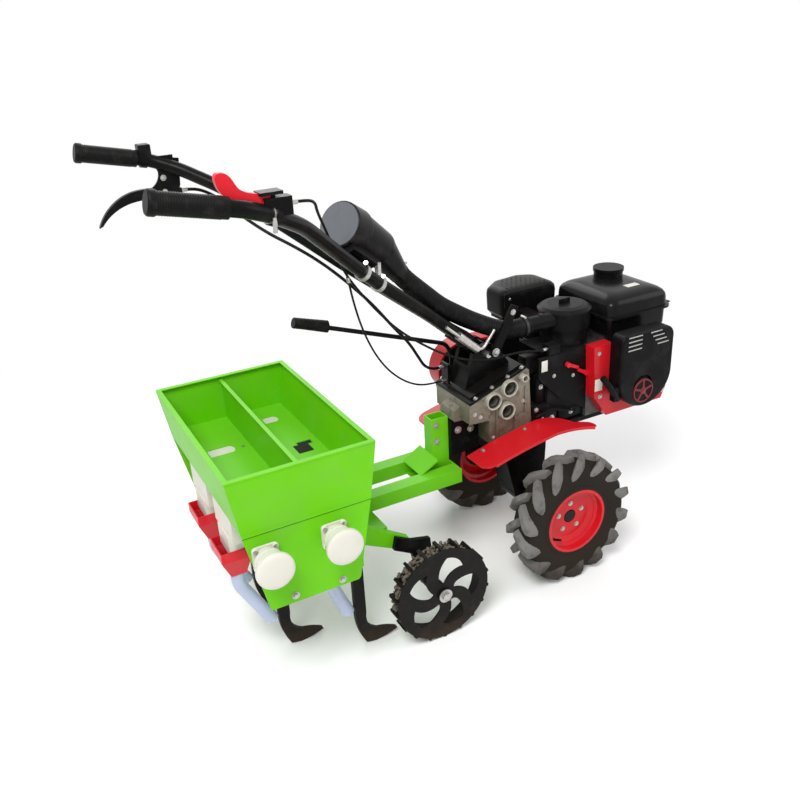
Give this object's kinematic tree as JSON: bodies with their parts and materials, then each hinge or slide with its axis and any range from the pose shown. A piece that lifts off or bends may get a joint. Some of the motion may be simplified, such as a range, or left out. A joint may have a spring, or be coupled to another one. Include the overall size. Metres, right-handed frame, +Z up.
{
  "type": "walk-behind seeder",
  "caption": "Two-wheeled walking tractor with a petrol engine and long handlebars, towing a two-row seed and fertiliser hopper with openers.",
  "frame": {"origin": "on the ground under the middle of the whole machine", "axes": "+X is the way it drives, +Y is its left, +Z is up"},
  "size_m": [1.4942, 0.7558, 1.2465],
  "materials": {
    "tyre": "dusty black rubber",
    "red_paint": "gloss red paint",
    "green_paint": "gloss lime green paint",
    "black_paint": "satin black paint",
    "raw_aluminium": "as cast, with oil and grime",
    "bare_steel": "bare machined steel",
    "worn_steel": "worn black paint with dry mud",
    "black_plastic": "moulded black plastic",
    "tank_plastic": "glossy black plastic",
    "grey_plastic": "smoky grey plastic",
    "white_plastic": "off-white plastic",
    "red_plastic": "bright red plastic",
    "clear_tube": "translucent bluish plastic",
    "rubber": "black rubber",
    "engine_block": "cast and partly painted"
  },
  "bodies": {
    "chassis": {"wheel_arm": "green_paint", "wheel_fork": "black_paint", "hopper": "green_paint", "side_plates": "green_paint", "toolbars": "green_paint", "drawbar": "green_paint", "hitch_channel": "green_paint", "hitch_bracket": "black_paint", "metering_shafts": "bare_steel", "seed_meters": "white_plastic", "fertiliser_meters": "white_plastic", "metering_knobs": "white_plastic", "seed_funnels": "red_plastic", "seed_tubes": "clear_tube", "fertiliser_tubes": "clear_tube", "seed_openers": "worn_steel", "fertiliser_openers": "worn_steel", "gearbox": "raw_aluminium", "gearbox_lid": "black_paint", "axle_housing": "black_paint", "engine_frame": "black_paint", "engine_block": "engine_block", "blower_housing": "red_paint", "recoil_starter": "black_plastic", "fuel_tank": "tank_plastic", "fuel_cap": "black_plastic", "air_cleaner": "black_plastic", "carburettor_housing": "black_plastic", "muffler": "black_paint", "belt_cover": "red_paint", "fender_right": "red_paint", "fender_left": "red_paint", "handlebar_mount": "black_paint", "pivot_pin": "bare_steel", "side_strut": "black_paint", "gear_lever": "black_paint", "intake_hose": "rubber", "throttle_cable": "rubber", "clutch_cable": "rubber", "shift_cable": "rubber"},
    "drive_axle": {"axle_shaft": "bare_steel", "wheel_hubs": "black_paint", "wheel_rims": "red_paint", "tyre_right": "tyre", "tyre_left": "tyre"},
    "seed_wheel": {"ground_wheel": "worn_steel", "ground_wheel_shaft": "bare_steel"},
    "handlebar": {"handlebar_foot": "black_paint", "handlebar_right": "black_paint", "handlebar_left": "black_paint", "handlebar_grips": "rubber", "clutch_lever": "black_paint", "switch_block": "black_plastic", "throttle_body": "black_plastic", "throttle_lever": "red_plastic", "lock_lever": "bare_steel", "intake_pipe": "black_plastic", "intake_clamps": "bare_steel", "pre_cleaner": "grey_plastic"}
  },
  "joints": [
    {"name": "drive_axle_spin", "type": "hinge", "parent": "chassis", "child": "drive_axle", "pos_m": [0.2771, 0, 0.185], "axis": [0, 1, 0], "continuous": true},
    {"name": "ground_wheel_spin", "type": "hinge", "parent": "chassis", "child": "seed_wheel", "pos_m": [-0.1629, -0.261, 0.135], "axis": [0, 1, 0], "continuous": true},
    {"name": "handlebar_height", "type": "hinge", "parent": "chassis", "child": "handlebar", "pos_m": [0.1271, 0, 0.645], "axis": [0, 1, 0], "range_deg": [-8, 10], "deforming": ["intake_hose", "throttle_cable", "clutch_cable", "shift_cable"]}
  ]
}
